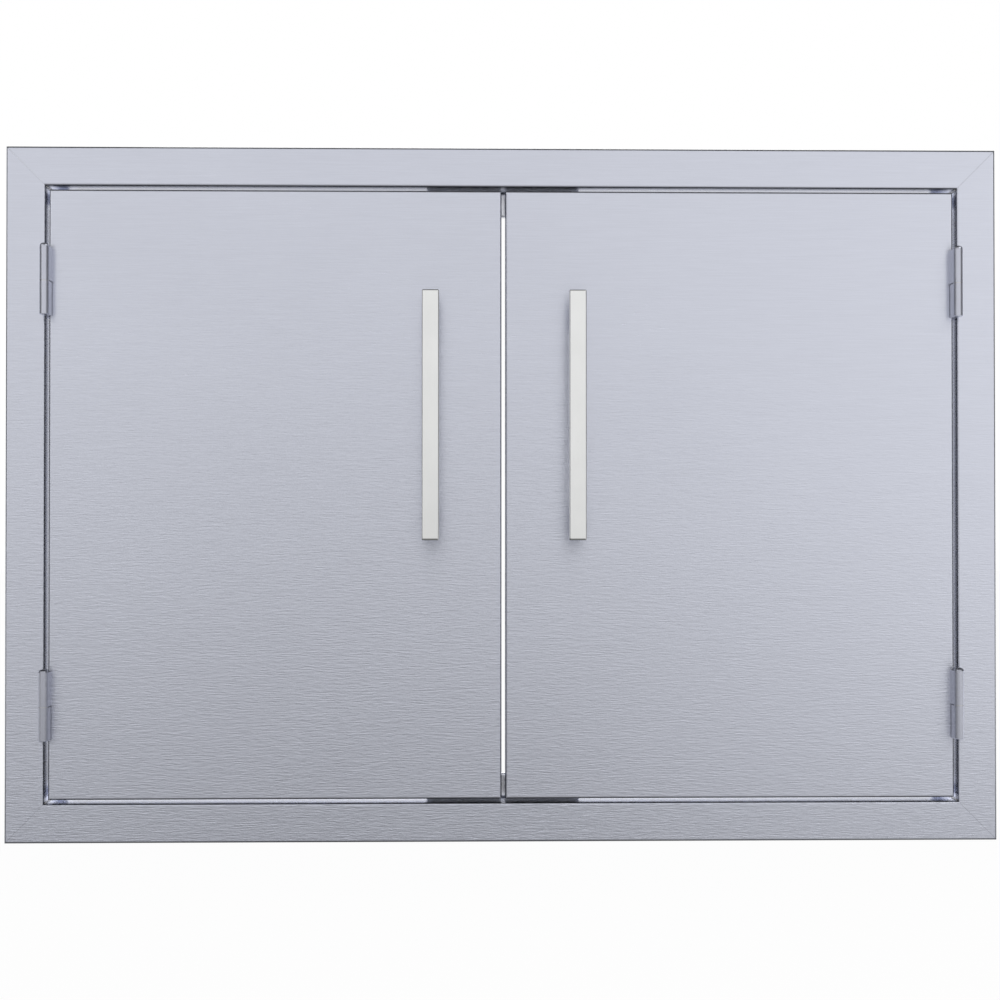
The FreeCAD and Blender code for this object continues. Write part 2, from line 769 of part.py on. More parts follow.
def handle_web(side):
    """Web that carries the bar, with two tapped holes from the door's side."""
    body = new_body(SIDE_NAMES[side] + "_handle_web")
    half_x = size["web_width"] / 2
    half_z = size["web_length"] / 2
    middle = side * size["handle_offset"]
    sketch = sketch_on(body, "foot", "XZ_Plane", -front)
    outline(sketch, rectangle(
        (middle - half_x, size["handle_rise"] - half_z),
        (middle + half_x, size["handle_rise"] + half_z)))
    pad(body, sketch, size["web_depth"])
    holes = sketch_on(body, "tapped_holes", "XZ_Plane", -front)
    for share in PAIR:
        height = size["handle_rise"] + share * size["screw_pitch"]
        circle(holes, middle, height, size["screw_radius"] + size["tap_play"])
    pocket(body, holes, size["screw_bite"] + size["tap_runout"], backwards=True)


def handle_places(side):
    """Where the axes of a handle's two screws stand."""
    x = side * size["handle_offset"]
    return [(x, size["handle_rise"] + share * size["screw_pitch"]) for share in PAIR]


def handle_washers(side):
    label = SIDE_NAMES[side] + "_handle_washers"
    start = door_rear + size["plate_washer_thick"]
    solids = []
    for index, (x, z) in enumerate(handle_places(side), start=1):
        name = label + "_" + str(index)
        outer = forwards("Cylinder", name + "_outer", (x, start, z),
                         {"Radius": size["plate_washer_radius"], "Height": size["plate_washer_thick"]})
        inner = forwards("Cylinder", name + "_inner", (x, start, z),
                         {"Radius": screw_hole, "Height": size["plate_washer_thick"]})
        solids.append(taken_from(name, outer, inner))
    keep(joined(label, solids), label)


def handle_screws(side):
    """Two screws through the whole door into the web, with a hexagon recess in the head."""
    label = SIDE_NAMES[side] + "_handle_screws"
    head_front = door_rear + size["plate_washer_thick"]
    head_back = head_front + size["head_height"]
    solids = []
    for index, (x, z) in enumerate(handle_places(side), start=1):
        name = label + "_" + str(index)
        head = forwards("Cylinder", name + "_head", (x, head_back, z),
                        {"Radius": size["head_radius"], "Height": size["head_height"]})
        shank = forwards("Cylinder", name + "_shank", (x, head_front, z),
                         {"Radius": size["screw_radius"], "Height": head_front - front + size["screw_bite"]})
        key = forwards("Prism", name + "_key", (x, head_back, z),
                       {"Circumradius": size["key_radius"], "Height": size["key_depth"]})
        solid = joined(name + "_solid", [head, shank])
        solids.append(taken_from(name, solid, key))
    keep(joined(label, solids), label)


def door(side):
    door_skin(side)
    door_liner(side)
    for level in (BOTTOM, TOP):
        door_leaf(side, level)
        strike_plate(side, level)
    handle_bar(side)
    handle_web(side)
    handle_washers(side)
    handle_screws(side)


def build():
    for level in (BOTTOM, TOP):
        frame_rail(level)
        catch_bracket(level)
    for side in (LEFT, RIGHT):
        frame_stile(side)
    bumpers()
    for side in (LEFT, RIGHT):
        for level in (BOTTOM, TOP):
            frame_leaf(side, level)
            hinge_pin(side, level)
            hinge_washer(side, level)
            catch_housing(side, level)
            catch_magnet(side, level)
        door(side)
    document.recompute()


def check():
    """Stop if anything failed to build, or a cut took nothing away."""
    for thing in document.Objects:
        if "Invalid" in thing.State or "Error" in thing.State:
            raise RuntimeError(thing.Name + " failed: " + str(thing.State))
    for feature in cuts:
        if feature.Shape.Volume > feature.BaseFeature.Shape.Volume - TOLERANCE:
            raise RuntimeError(feature.Name + " cuts nothing")
    for thing in pieces:
        if thing.Shape.isNull() or not thing.Shape.isValid() or not thing.Shape.Solids:
            raise RuntimeError(thing.Label + " has no valid solid")


def write_parts():
    os.makedirs("parts", exist_ok=True)
    for thing in pieces:
        thing.Shape.exportStep("parts/" + thing.Label + ".step")
        box = thing.Shape.BoundBox
        print(thing.Label, len(thing.Shape.Solids), "solid, volume", round(thing.Shape.Volume, 1),
              "box", [round(value, 2) for value in (
                  box.XMin, box.YMin, box.ZMin, box.XMax, box.YMax, box.ZMax)])


build()
check()
write_parts()
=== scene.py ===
import math
import bmesh
import bpy
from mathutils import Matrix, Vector


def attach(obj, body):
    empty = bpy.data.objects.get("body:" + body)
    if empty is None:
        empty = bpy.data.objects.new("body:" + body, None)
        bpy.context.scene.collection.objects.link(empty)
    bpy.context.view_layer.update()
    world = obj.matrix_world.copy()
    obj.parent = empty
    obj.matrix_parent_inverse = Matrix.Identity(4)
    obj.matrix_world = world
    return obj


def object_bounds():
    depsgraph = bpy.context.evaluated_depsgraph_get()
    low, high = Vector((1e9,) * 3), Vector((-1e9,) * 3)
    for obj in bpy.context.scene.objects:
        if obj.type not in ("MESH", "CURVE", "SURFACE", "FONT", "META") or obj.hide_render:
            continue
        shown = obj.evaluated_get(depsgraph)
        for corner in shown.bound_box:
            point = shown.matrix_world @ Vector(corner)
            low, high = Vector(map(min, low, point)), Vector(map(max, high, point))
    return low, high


# Double access door of an outdoor kitchen island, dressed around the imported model.
# Metres, +Z up, the doors face -Y. The origin is the middle of the cut-out in the island's surface.

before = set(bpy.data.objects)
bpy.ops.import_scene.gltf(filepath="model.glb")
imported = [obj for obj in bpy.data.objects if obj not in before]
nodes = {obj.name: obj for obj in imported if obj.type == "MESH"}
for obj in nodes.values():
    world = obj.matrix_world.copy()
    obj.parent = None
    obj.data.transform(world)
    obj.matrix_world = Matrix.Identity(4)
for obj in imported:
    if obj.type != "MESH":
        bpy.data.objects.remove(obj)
cad_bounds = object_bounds()


# Places on the part that the materials and welds are laid out from

FRAME_HALF_WIDTH = cad_bounds[1][0]
FRAME_HALF_HEIGHT = cad_bounds[1][2]
FRAME_FACE = 0.030
WALL_X = FRAME_HALF_WIDTH - FRAME_FACE
WALL_Z = FRAME_HALF_HEIGHT - FRAME_FACE
WALL_SHEET = 0.0012
MITRE_OFFSET = FRAME_HALF_WIDTH - FRAME_HALF_HEIGHT
LINER_REAR = 0.011
HINGE_Z = 0.162
HANDLE_X = 0.0554
HANDLE_Z = 0.0592
BAR_HALF_WIDTH = 0.00635
BAR_HALF_LENGTH = 0.094
BAR_REAR = -0.034
WEB_HALF = 0.004
WEB_LENGTH = 0.137
SIDES = (("left", -1.0), ("right", 1.0))


# Camera, at the photograph's viewing angle

IMAGE_SIDE = 1000
FOCAL_PIXELS = 1600.0
CAMERA_PLACE = (-0.0267, -1.2396, -0.0164)
CAMERA_PITCH = math.radians(0.56)
CAMERA_YAW = math.radians(-1.12)


def make_camera():
    data = bpy.data.cameras.new("camera")
    data.sensor_fit = "HORIZONTAL"
    data.sensor_width = 36.0
    data.lens = data.sensor_width * FOCAL_PIXELS / IMAGE_SIDE
    data.clip_start = 0.01
    data.clip_end = 50.0
    camera = bpy.data.objects.new("camera", data)
    camera.location = CAMERA_PLACE
    camera.rotation_euler = (math.pi / 2 + CAMERA_PITCH, 0.0, CAMERA_YAW)
    bpy.context.scene.collection.objects.link(camera)
    bpy.context.scene.camera = camera


# Materials

class Graph:
    """Short names for the nodes that the materials are made of."""

    def __init__(self, tree):
        self.tree = tree
        tree.nodes.clear()

    def add(self, kind, inputs=None, **settings):
        made = self.tree.nodes.new(kind)
        for key, value in settings.items():
            setattr(made, key, value)
        for key, value in (inputs or {}).items():
            self.feed(made.inputs[key], value)
        return made

    def feed(self, socket, value):
        if isinstance(value, bpy.types.NodeSocket):
            self.tree.links.new(value, socket)
        else:
            socket.default_value = value

    def math(self, operation, first, second=0.0, third=0.0):
        made = self.add("ShaderNodeMath", operation=operation)
        for socket, value in zip(made.inputs, (first, second, third)):
            self.feed(socket, value)
        return made.outputs[0]

    def vector(self, x, y, z):
        return self.add("ShaderNodeCombineXYZ", {"X": x, "Y": y, "Z": z}).outputs[0]

    def split(self, vector):
        return self.add("ShaderNodeSeparateXYZ", {"Vector": vector}).outputs

    def noise(self, vector, scale, detail=2.0, roughness=0.5, distortion=0.0):
        made = self.add("ShaderNodeTexNoise", {
            "Vector": vector, "Scale": scale, "Detail": detail,
            "Roughness": roughness, "Distortion": distortion})
        return made.outputs[0]

    def span(self, value, low, high, start, end):
        """Value taken from low..high to start..end, and held there outside."""
        made = self.add("ShaderNodeMapRange", {
            "Value": value, "From Min": low, "From Max": high, "To Min": start, "To Max": end})
        return made.outputs[0]

    def smooth(self, value, low, high, start, end):
        """As span, but leaving and arriving gently."""
        made = self.add("ShaderNodeMapRange", {
            "Value": value, "From Min": low, "From Max": high, "To Min": start, "To Max": end},
            interpolation_type="SMOOTHSTEP")
        return made.outputs[0]

    def blend(self, factor, first, second):
        made = self.add("ShaderNodeMix", data_type="RGBA")
        self.feed(made.inputs["Factor"], factor)
        colours = [socket for socket in made.inputs if socket.type == "RGBA"]
        self.feed(colours[0], first)
        self.feed(colours[1], second)
        return [socket for socket in made.outputs if socket.type == "RGBA"][0]

    def bump(self, height, strength, distance, normal=None):
        inputs = {"Height": height, "Strength": strength, "Distance": distance}
        if normal is not None:
            inputs["Normal"] = normal
        return self.add("ShaderNodeBump", inputs).outputs[0]


def tone(red, green, blue):
    return (red, green, blue, 1.0)


def shaded(colour, factor):
    return tone(*[channel * factor for channel in colour[:3]])


def surface(name):
    """A new material with a Principled shader, and the graph to fill."""
    material = bpy.data.materials.new(name)
    material.use_nodes = True
    graph = Graph(material.node_tree)
    shader = graph.add("ShaderNodeBsdfPrincipled")
    output = graph.add("ShaderNodeOutputMaterial")
    material.node_tree.links.new(shader.outputs[0], output.inputs[0])
    return material, graph, shader


def grain_place(graph):
    """Place on the sheet: how far along the grain, and how far across it, also round the bends."""
    x, y, z = graph.split(graph.add("ShaderNodeTexCoord").outputs["Object"])
    tilt = graph.split(graph.add("ShaderNodeNewGeometry").outputs["Normal"])[2]
    lying = graph.math("MULTIPLY", tilt, tilt)
    along = graph.math("ADD", x, graph.math("MULTIPLY", y, graph.math("SUBTRACT", 1.0, lying)))
    across = graph.math("ADD", z, graph.math("MULTIPLY", y, lying))
    return along, across


def facing_of(graph):
    """How squarely the surface faces front or back, from 0 to 1, and the three parts of its direction."""
    parts = graph.split(graph.add("ShaderNodeTexCoord").outputs["Normal"])
    return graph.math("ABSOLUTE", parts[1]), parts


def band(graph, value, start, full, fade, end):
    """1 between full and fade, gently down to 0 at start and end."""
    return graph.math("MULTIPLY", graph.smooth(value, start, full, 0.0, 1.0),
                      graph.smooth(value, fade, end, 1.0, 0.0))


def across_grain(graph):
    """The direction in the surface across level grain, in which brushed metal spreads its reflections."""
    turned = graph.split(graph.add("ShaderNodeNewGeometry").outputs["Normal"])
    return graph.vector(0.0, graph.math("MULTIPLY", turned[2], -1.0), graph.math("ADD", turned[1], 0.001))


GRAIN_ALONG = 105.0
GRAIN_ACROSS = 1050.0
SCRATCHES_ALONG = 30.0
SCRATCHES_ACROSS = 2600.0
GRAIN_DEPTH = 4.0e-4
SHEET_ROUGHNESS = 0.302
# Tone of the painted shade in the folds and at the mouth of the gaps.
FOLD_SHADE = 0.1
# Spans near the mitre corners where the box walls get painted light.
RAIL_PAINTED_LIGHT = (WALL_X - 0.024, WALL_X - 0.014)
STILE_PAINTED_LIGHT = (WALL_Z - 0.0217, WALL_Z - 0.0117)


def stretched(graph, along, across, seed, along_scale, across_scale):
    return graph.vector(graph.math("MULTIPLY", along, along_scale), seed,
                        graph.math("MULTIPLY", across, across_scale))


def grain_height(graph, waves, scratches, z, facing):
    """Height of the grain: deeper lower down the object, and none where the sheet turns away."""
    lower = graph.math("POWER", graph.span(z, -0.25, 0.25, 1.0, 0.0), 1.6)
    depth = graph.math("MULTIPLY", graph.span(lower, 0.0, 1.0, 0.15, 1.10),
                       graph.smooth(facing, 0.3, 0.9, 0.0, 1.0))
    return graph.math("MULTIPLY", graph.math("MULTIPLY_ADD", scratches, 0.05, waves), depth)


def bend_shade_share(graph, facing, inner):
    """Painted shade: 1 in the bends of the sheet. Bends that look towards the middle get painted shade over a
    wider share of their curve.
    """
    return graph.math("ADD",
                      graph.math("MULTIPLY", band(graph, facing, 0.02, 0.20, 0.68, 0.92), inner),
                      graph.math("MULTIPLY", band(graph, facing, 0.02, 0.20, 0.90, 0.99),
                                 graph.math("SUBTRACT", 1.0, inner)))


def painted_corner_light_share(graph, x, y, z, wall):
    """Painted light: 1 on the box walls near a mitre corner, behind the mouth, where the sheet is drawn
    lighter.
    """
    corner = graph.math("MULTIPLY", graph.smooth(graph.math("ABSOLUTE", x), *RAIL_PAINTED_LIGHT, 0.0, 1.0),
                        graph.smooth(graph.math("ABSOLUTE", z), *STILE_PAINTED_LIGHT, 0.0, 1.0))
    return graph.math("MULTIPLY", graph.math("MULTIPLY", corner, wall),
                      graph.smooth(y, -0.003, 0.0, 0.0, 1.0))


def seam_share(graph, x, z, facing):
    """A thin line along the four mitres, on the faces that look to the front or back."""
    seam = graph.math("ABSOLUTE", graph.math("SUBTRACT", graph.math(
        "SUBTRACT", graph.math("ABSOLUTE", x), graph.math("ABSOLUTE", z)), MITRE_OFFSET))
    line = graph.smooth(seam, 0.0001, 0.0009, 0.19, 0.0)
    return graph.math("MULTIPLY", line, graph.smooth(facing, 0.7, 0.95, 0.0, 1.0))


def brushed_steel(name, colour, seed, bends, upright_bend_shade, seams=False):
    """Stainless sheet with short fine grain along it, with painted shade round the bends, in the folds and at
    the mouth of the gaps. With seams, painted light on the box walls near the mitre corners, and a dark line
    along the mitres.
    """
    material, graph, shader = surface(name)
    x, y, z = graph.split(graph.add("ShaderNodeTexCoord").outputs["Object"])
    facing, direction = facing_of(graph)
    graph.feed(shader.inputs["Anisotropic"], graph.smooth(facing, 0.3, 0.8, 0.0, 0.75))
    graph.feed(shader.inputs["Tangent"], across_grain(graph))
    along, across = grain_place(graph)
    waves = graph.noise(stretched(graph, along, across, seed, GRAIN_ALONG, GRAIN_ACROSS),
                        1.0, 3.0, 0.65, 0.35)
    scratches = graph.noise(stretched(graph, along, across, seed, SCRATCHES_ALONG, SCRATCHES_ACROSS),
                            1.0, 2.0, 0.6, 0.1)
    patches = graph.noise(graph.vector(along, seed, across), 7.0, 3.0, 0.5, 0.0)
    height = grain_height(graph, waves, scratches, z, facing)
    graph.feed(shader.inputs["Normal"], graph.bump(height, 1.0, GRAIN_DEPTH))
    shade = graph.blend(graph.span(scratches, 0.3, 0.7, 0.0, 1.0), shaded(colour, 0.97), shaded(colour, 1.03))
    outwards = graph.math("MULTIPLY_ADD", x, direction[0], graph.math("MULTIPLY", z, direction[2]))
    inner = graph.smooth(outwards, -0.02, -0.005, 1.0, 0.0)
    sideways = graph.math("MULTIPLY", direction[0], direction[0])
    # Painted shade in the bends: less on bends looking left, the lit side, and scaled by the upright factor
    # on bends looking sideways.
    lit_side = graph.math("MULTIPLY", graph.smooth(direction[0], -0.7, -0.2, 0.45, 1.0),
                          graph.span(sideways, 0.0, 0.5, 1.0, upright_bend_shade))
    bend = graph.math("MULTIPLY", bend_shade_share(graph, facing, inner), lit_side)
    shade = graph.blend(graph.math("MULTIPLY", bend, bends), shade, shaded(colour, 0.12))
    # Painted shade in the folds: walls that look sideways are drawn darker.
    wall = graph.smooth(facing, 0.0, 0.3, 1.0, 0.0)
    shade = graph.blend(graph.math("MULTIPLY", wall, graph.span(sideways, 0.0, 1.0, 0.0, 0.15)),
                        shade, shaded(colour, FOLD_SHADE))
    # Painted shade at the mouth of the gaps: the walls just behind the front edge are drawn darker.
    mouth = graph.math("MULTIPLY", graph.math("MULTIPLY", wall, inner),
                       graph.smooth(y, -0.0055, -0.003, 0.75, 0.0))
    shade = graph.blend(mouth, shade, shaded(colour, FOLD_SHADE))
    if seams:
        # Painted light on the box walls near the mitre corners, then a dark line along the mitres.
        shade = graph.blend(painted_corner_light_share(graph, x, y, z, wall), shade, shaded(colour, 1.34))
        shade = graph.blend(seam_share(graph, x, z, facing), shade, shaded(colour, 0.35))
    graph.feed(shader.inputs["Base Color"], shade)
    uneven = graph.math("MULTIPLY_ADD", graph.math("SUBTRACT", waves, 0.5), 0.10, SHEET_ROUGHNESS)
    uneven = graph.math("MULTIPLY_ADD", graph.math("SUBTRACT", patches, 0.5), 0.06, uneven)
    folded = graph.smooth(facing, 0.3, 0.8, 0.03, 0.0)
    graph.feed(shader.inputs["Roughness"], graph.math("SUBTRACT", uneven, folded))
    shader.inputs["Metallic"].default_value = 1.0
    return material


# Ranges over which the painted light and shade on the faces fade in.
SIDE_SHADE_FADE = (0.35, 0.85)
TOP_SHADE_FADE = (0.10, 0.45)


def satin_steel(name, colour, roughness, seed, sides=(1.0, 1.0, 1.0, 1.0),
                outward=False, ends=None):
    """Finely ground solid steel, with hardly visible grain along the piece.

    The sides are factors of painted light and shade on faces that look left, right, up and down. With
    outward, left and right are the faces away from and towards the middle of the object. With ends, painted
    shade draws the bevels of an upright bar as darker lines at its lower end, its upper end and its right
    edge.
    """
    material, graph, shader = surface(name)
    x, y, z = graph.split(graph.add("ShaderNodeTexCoord").outputs["Object"])
    direction = graph.split(graph.add("ShaderNodeTexCoord").outputs["Normal"])
    across = direction[0]
    if outward:
        across = graph.math("MULTIPLY", across, graph.math("MULTIPLY", graph.math("SIGN", x), -1.0))
    flat = graph.math("ADD", x, y)
    lines = graph.noise(graph.vector(graph.math("MULTIPLY", flat, 2200.0), seed,
                                     graph.math("MULTIPLY", z, 60.0)), 1.0, 3.0, 0.55, 0.1)
    cloud = graph.noise(graph.vector(x, y, z), 35.0, 2.0)
    graph.feed(shader.inputs["Normal"], graph.bump(lines, 1.0, 1.5e-6))
    shade = graph.blend(graph.span(cloud, 0.3, 0.7, 0.0, 1.0), shaded(colour, 0.98), shaded(colour, 1.02))
    # Painted light and shade: faces are drawn lighter or darker by the way they look.
    for part, sign, factor, fade in ((across, -1.0, sides[0], SIDE_SHADE_FADE), (across, 1.0, sides[1], SIDE_SHADE_FADE),
                                     (direction[2], 1.0, sides[2], TOP_SHADE_FADE),
                                     (direction[2], -1.0, sides[3], SIDE_SHADE_FADE)):
        if factor != 1.0:
            shade = graph.blend(graph.smooth(graph.math("MULTIPLY", part, sign), *fade, 0.0, 1.0),
                                shade, shaded(colour, factor))
    # Painted shade: darker lines on the bevels at the bar's lower end, its upper end and its right edge.
    if ends:
        low, high, centre, half = ends
        right = graph.math("SUBTRACT", x, graph.math("MULTIPLY", graph.math("SIGN", x), centre))
        for value, start, full, share in ((z, low + 0.0016, low + 0.0010, 0.30),
                                          (z, high - 0.0010, high - 0.0006, 0.45),
                                          (right, half - 0.0010, half - 0.0006, 0.80)):
            shade = graph.blend(graph.span(value, start, full, 0.0, 1.0), shade, shaded(colour, share))
    graph.feed(shader.inputs["Base Color"], shade)
    graph.feed(shader.inputs["Roughness"], graph.span(lines, 0.3, 0.7, roughness - 0.03, roughness + 0.04))
    shader.inputs["Metallic"].default_value = 1.0
    return material


def moulded(name, colour, roughness, scale, depth):
    """Moulded plastic or rubber with a fine sparked surface."""
    material, graph, shader = surface(name)
    place = graph.add("ShaderNodeTexCoord").outputs["Object"]
    pits = graph.noise(place, scale, 3.0, 0.6)
    cloud = graph.noise(place, scale / 18.0, 2.0)
    graph.feed(shader.inputs["Normal"], graph.bump(pits, 1.0, depth))
    graph.feed(shader.inputs["Base Color"], graph.blend(
        graph.span(cloud, 0.3, 0.7, 0.0, 1.0), shaded(colour, 0.85), shaded(colour, 1.2)))
    graph.feed(shader.inputs["Roughness"], graph.span(pits, 0.3, 0.7, roughness - 0.06, roughness + 0.08))
    return material


STEEL = tone(0.640, 0.660, 0.744)
# Where the handle bars get painted shade on their bevels: lower end, upper end, bar middle and half width.
HANDLE_BEVEL_SHADE = (HANDLE_Z - BAR_HALF_LENGTH, HANDLE_Z + BAR_HALF_LENGTH, HANDLE_X, BAR_HALF_WIDTH)


def make_materials():
    return {
        "frame_steel": brushed_steel("frame_steel", STEEL, 1.7, 0.74, 0.5, seams=True),
        "door_steel": brushed_steel("door_steel", STEEL, 5.3, 0.50, 0.10),
        "bracket_steel": satin_steel("bracket_steel", tone(0.93, 0.94, 0.98), 0.31, 4.6),
        # Hinge: painted light on faces that look outward and down, painted shade on faces that look up.
        "hinge_steel": satin_steel("hinge_steel", tone(0.535, 0.55, 0.625), 0.33, 2.1,
                                   sides=(1.7, 1.0, 0.22, 1.6), outward=True),
        # Handle: painted light on faces that look left and right, painted shade on faces that look up.
        "handle_steel": satin_steel("handle_steel", tone(0.84, 0.845, 0.84), 0.36, 8.4,
                                    sides=(1.1, 1.1, 0.7, 1.0), ends=HANDLE_BEVEL_SHADE),
        "fastener_steel": satin_steel("fastener_steel", tone(0.60, 0.60, 0.62), 0.30, 3.3),
        "weld_steel": satin_steel("weld_steel", tone(0.66, 0.655, 0.65), 0.34, 9.2),
        "zinc_plated_steel": satin_steel("zinc_plated_steel", tone(0.55, 0.56, 0.58), 0.38, 6.1),
        "catch_plastic": moulded("catch_plastic", tone(0.075, 0.075, 0.085), 0.45, 1500.0, 8e-6),
        "magnet": moulded("magnet", tone(0.10, 0.10, 0.105), 0.6, 2500.0, 1.5e-5),
        "bumper_rubber": moulded("bumper_rubber", tone(0.06, 0.06, 0.06), 0.7, 1800.0, 1e-5),
    }


SLOT_WORDS = (
    ("catch_housing", "catch_plastic"),
    ("catch_magnet", "magnet"),
    ("bumpers", "bumper_rubber"),
    ("strike_plate", "zinc_plated_steel"),
    ("pin", "fastener_steel"),
    ("hinge_washer", "fastener_steel"),
    ("handle_washers", "fastener_steel"),
    ("handle_screws", "fastener_steel"),
    ("handle", "handle_steel"),
    ("leaf", "hinge_steel"),
    ("bracket", "bracket_steel"),
    ("door", "door_steel"),
    ("", "frame_steel"),
)


def slot_of(name):
    for word, slot in SLOT_WORDS:
        if word in name:
            return slot


def dress_nodes(materials):
    for name, thing in nodes.items():
        thing.data.materials.clear()
        thing.data.materials.append(materials[slot_of(name)])


# Welds: fine beads and spot-weld marks, too small for the model's own solids

BEAD_RADIUS = 0.0009
CORNER_PITCH = 0.0011
HANDLE_PITCH = 0.0012
MARK_RADIUS = 0.0024
CORNER_FRONT = -0.0075
CORNER_REAR = 0.0435
HINGE_MARK_DROPS = (0.007, 0.018)
BRACKET_MARKS_X = (0.018, 0.046)
LINER_EDGE_X = 0.3405
LINER_MIDDLE_X = 0.0090
LINER_EDGE_Z = 0.2267
UPRIGHT_MARK_PITCH = 0.057
LEVEL_MARK_PITCH = 0.055


def add_ring(shape, centre, side, up, radius, corners):
    turns = [2.0 * math.pi * index / corners for index in range(corners)]
    return [shape.verts.new(centre + side * (math.cos(turn) * radius) + up * (math.sin(turn) * radius))
            for turn in turns]


def join_rings(shape, rings):
    """Close the skin between rings of the same number of corners, and both ends."""
    corners = len(rings[0])
    for first, second in zip(rings, rings[1:]):
        for index in range(corners):
            after = (index + 1) % corners
            shape.faces.new((first[index], first[after], second[after], second[index]))
    shape.faces.new(list(reversed(rings[0])))
    shape.faces.new(rings[-1])


def add_bead(shape, start, end, radius, pitch):
    """Weld bead between two points: a thin rope with close ripples."""
    start, end = Vector(start), Vector(end)
    run = end - start
    side = run.orthogonal().normalized()
    up = run.normalized().cross(side)
    steps = 2 * max(2, round(run.length / pitch))
    rings = []
    for step in range(steps + 1):
        swell = 0.5 if step in (0, steps) else 1.0 if step % 2 else 0.86
        rings.append(add_ring(shape, start + run * (step / steps), side, up, radius * swell, 8))
    join_rings(shape, rings)


def add_mark(shape, centre, normal):
    """Spot-weld mark: a low rim round a shallow dish, let into the sheet."""
    centre, normal = Vector(centre), Vector(normal)
    side = normal.orthogonal().normalized()
    up = normal.cross(side)
    profile = ((1.0, -0.00015), (1.0, 0.00002), (0.88, 0.00012),
               (0.74, 0.00012), (0.55, 0.00003), (0.2, 0.00002))
    join_rings(shape, [add_ring(shape, centre + normal * lift, side, up, MARK_RADIUS * share, 20)
                       for share, lift in profile])


def finish_piece(name, shape, body, material):
    bmesh.ops.recalc_face_normals(shape, faces=shape.faces)
    mesh = bpy.data.meshes.new(name)
    shape.to_mesh(mesh)
    shape.free()
    mesh.materials.append(material)
    for polygon in mesh.polygons:
        polygon.use_smooth = True
    thing = bpy.data.objects.new(name, mesh)
    bpy.context.scene.collection.objects.link(thing)
    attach(thing, body)


def spread(low, high, pitch):
    count = max(1, round((high - low) / pitch))
    return [low + (high - low) * index / count for index in range(count + 1)]


def make_frame_welds(materials):
    corners = bmesh.new()
    marks = bmesh.new()
    for _, side in SIDES:
        for level in (-1.0, 1.0):
            x, z = side * (WALL_X - 0.0003), level * (WALL_Z - 0.0003)
            add_bead(corners, (x, CORNER_FRONT, z), (x, CORNER_REAR, z), BEAD_RADIUS, CORNER_PITCH)
            for drop in HINGE_MARK_DROPS:
                add_mark(marks, (side * (WALL_X + WALL_SHEET), 0.003, level * HINGE_Z - drop), (side, 0, 0))
            for along in BRACKET_MARKS_X:
                add_mark(marks, (side * along, 0.028, level * (WALL_Z + WALL_SHEET)), (0, 0, level))
    finish_piece("frame_corner_welds", corners, "frame", materials["weld_steel"])
    finish_piece("frame_spot_welds", marks, "frame", materials["frame_steel"])


def make_door_welds(materials):
    for word, side in SIDES:
        beads = bmesh.new()
        for edge in (-1.0, 1.0):
            x = side * HANDLE_X + edge * (WEB_HALF + 0.0002)
            reach = WEB_LENGTH / 2 - 0.0012
            y = BAR_REAR + 0.0002
            add_bead(beads, (x, y, HANDLE_Z - reach), (x, y, HANDLE_Z + reach), BEAD_RADIUS, HANDLE_PITCH)
        finish_piece(word + "_handle_welds", beads, word + "_door", materials["weld_steel"])
        marks = bmesh.new()
        for height in spread(-LINER_EDGE_Z, LINER_EDGE_Z, UPRIGHT_MARK_PITCH):
            add_mark(marks, (side * LINER_EDGE_X, LINER_REAR, height), (0, 1, 0))
            if abs(height) < 0.21:
                add_mark(marks, (side * LINER_MIDDLE_X, LINER_REAR, height), (0, 1, 0))
        for level in (-1.0, 1.0):
            for along in spread(0.068, LINER_EDGE_X, LEVEL_MARK_PITCH)[:-1]:
                add_mark(marks, (side * along, LINER_REAR, level * LINER_EDGE_Z), (0, 1, 0))
        finish_piece(word + "_door_spot_welds", marks, word + "_door", materials["door_steel"])


# Stage: floor, white surroundings, soft lamps

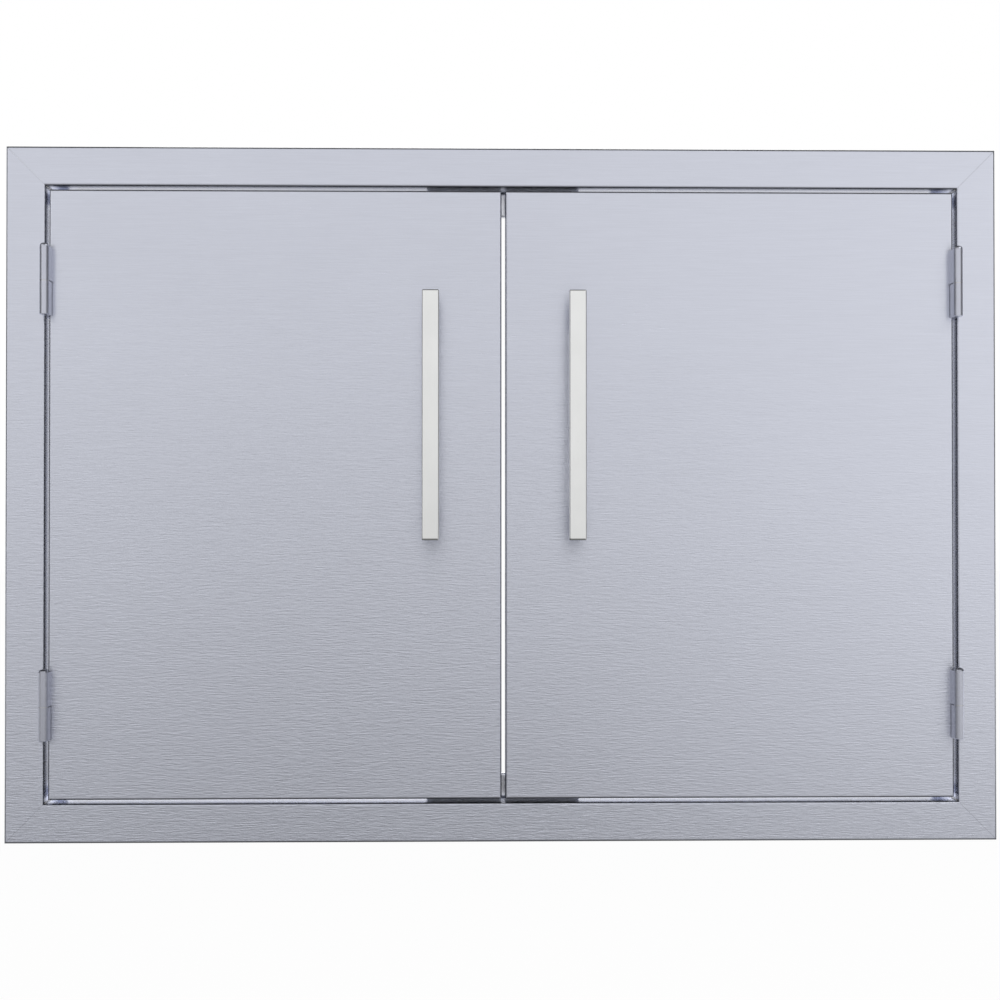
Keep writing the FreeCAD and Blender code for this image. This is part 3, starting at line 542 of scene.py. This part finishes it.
def make_floor():
    """A pale floor: white to the camera but for the object's shadow, with a glow of painted light and shade
    that only reflections see, greyer near the object.
    """
    mesh = bpy.data.meshes.new("floor")
    grid = bmesh.new()
    bmesh.ops.create_grid(grid, x_segments=8, y_segments=8, size=6.0)
    grid.to_mesh(mesh)
    grid.free()
    floor = bpy.data.objects.new("floor", mesh)
    floor.location.z = cad_bounds[0][2] - 0.0002
    bpy.context.scene.collection.objects.link(floor)
    material = bpy.data.materials.new("floor")
    material.use_nodes = True
    graph = Graph(material.node_tree)
    x, y, _ = graph.split(graph.add("ShaderNodeTexCoord").outputs["Object"])
    # Painted light and shade for reflections: the glow is dimmer just ahead of the object and in its middle,
    # and brighter further off, to the sides (most to the right) and behind.
    ahead = graph.math("MULTIPLY", y, -1.0)
    before = graph.math("ADD", graph.smooth(ahead, 0.0, 0.30, 0.375, 0.433),
                        graph.smooth(ahead, 0.7, 1.6, 0.0, 0.159))
    beside = graph.math("MINIMUM", graph.math("MAXIMUM", x, -0.9), 0.9)
    bowl = graph.math("MULTIPLY_ADD", beside, graph.math("MULTIPLY_ADD", beside, 0.87, 0.53), 1.0)
    middle = graph.smooth(graph.math("ABSOLUTE", graph.math("ADD", x, 0.08)), 0.05, 0.34, 0.18, 0.0)
    dull = graph.math("MULTIPLY", middle, graph.smooth(ahead, 0.2, 0.8, 1.0, 0.0))
    before = graph.math("MULTIPLY", before, graph.math("SUBTRACT", 1.0, dull))
    seen = graph.math("MINIMUM", 1.0, graph.math(
        "MULTIPLY_ADD", before, bowl, graph.smooth(y, 0.05, 0.45, 0.0, 0.5)))
    path = graph.add("ShaderNodeLightPath").outputs
    plain = graph.add("ShaderNodeBsdfDiffuse", {"Color": tone(0.82, 0.82, 0.82)})
    grey = graph.add("ShaderNodeEmission", {"Color": tone(1, 1, 1), "Strength": seen})
    white = graph.add("ShaderNodeEmission", {"Color": tone(1, 1, 1), "Strength": 1.0})
    indirect = graph.math("MAXIMUM", path["Is Glossy Ray"], path["Is Transmission Ray"])
    mirrored = graph.add("ShaderNodeMixShader", {0: indirect, 1: plain.outputs[0], 2: grey.outputs[0]})
    share = graph.math("MULTIPLY", path["Is Camera Ray"], 0.95)
    both = graph.add("ShaderNodeMixShader", {0: share, 1: mirrored.outputs[0], 2: white.outputs[0]})
    output = graph.add("ShaderNodeOutputMaterial")
    material.node_tree.links.new(both.outputs[0], output.inputs[0])
    mesh.materials.append(material)


def make_world():
    """White in front of the object and behind it, dimmer at its sides and overhead in reflections."""
    world = bpy.data.worlds.new("world")
    bpy.context.scene.world = world
    world.use_nodes = True
    graph = Graph(world.node_tree)
    facing = graph.split(graph.add("ShaderNodeTexCoord").outputs["Generated"])[1]
    level = graph.smooth(graph.math("ABSOLUTE", facing), 0.45, 0.75, 0.10, 1.0)
    path = graph.add("ShaderNodeLightPath").outputs
    seen = graph.math("MAXIMUM", path["Is Camera Ray"], path["Is Transmission Ray"])
    mirrored = graph.add("ShaderNodeBackground", {"Color": tone(1, 1, 1), "Strength": level})
    lit = graph.add("ShaderNodeBackground", {"Color": tone(1, 1, 1), "Strength": 0.75})
    white = graph.add("ShaderNodeBackground", {"Color": tone(1, 1, 1), "Strength": 1.0})
    indirect = graph.add("ShaderNodeMixShader", {
        0: path["Is Glossy Ray"], 1: lit.outputs[0], 2: mirrored.outputs[0]})
    both = graph.add("ShaderNodeMixShader", {0: seen, 1: indirect.outputs[0], 2: white.outputs[0]})
    output = graph.add("ShaderNodeOutputWorld")
    world.node_tree.links.new(both.outputs[0], output.inputs[0])


def lamp(name, place, target, width, height, power):
    data = bpy.data.lights.new(name, "AREA")
    data.shape = "RECTANGLE"
    data.size = width
    data.size_y = height
    data.energy = power
    thing = bpy.data.objects.new(name, data)
    thing.location = place
    thing.rotation_euler = (Vector(target) - Vector(place)).to_track_quat("-Z", "Y").to_euler()
    bpy.context.scene.collection.objects.link(thing)


def make_lamps():
    lamp("key", (2.2, -1.5, 2.2), (0.0, 0.0, 0.0), 1.6, 1.2, 20.0)
    lamp("fill", (-2.2, -1.3, 1.4), (0.0, 0.0, 0.0), 1.2, 1.2, 8.0)
    lamp("back", (0.0, 2.2, 1.6), (0.0, 0.0, 0.0), 1.6, 1.2, 14.0)


make_camera()
materials = make_materials()
dress_nodes(materials)
make_frame_welds(materials)
make_door_welds(materials)
make_floor()
make_world()
make_lamps()
bpy.context.scene.view_settings.view_transform = "Standard"
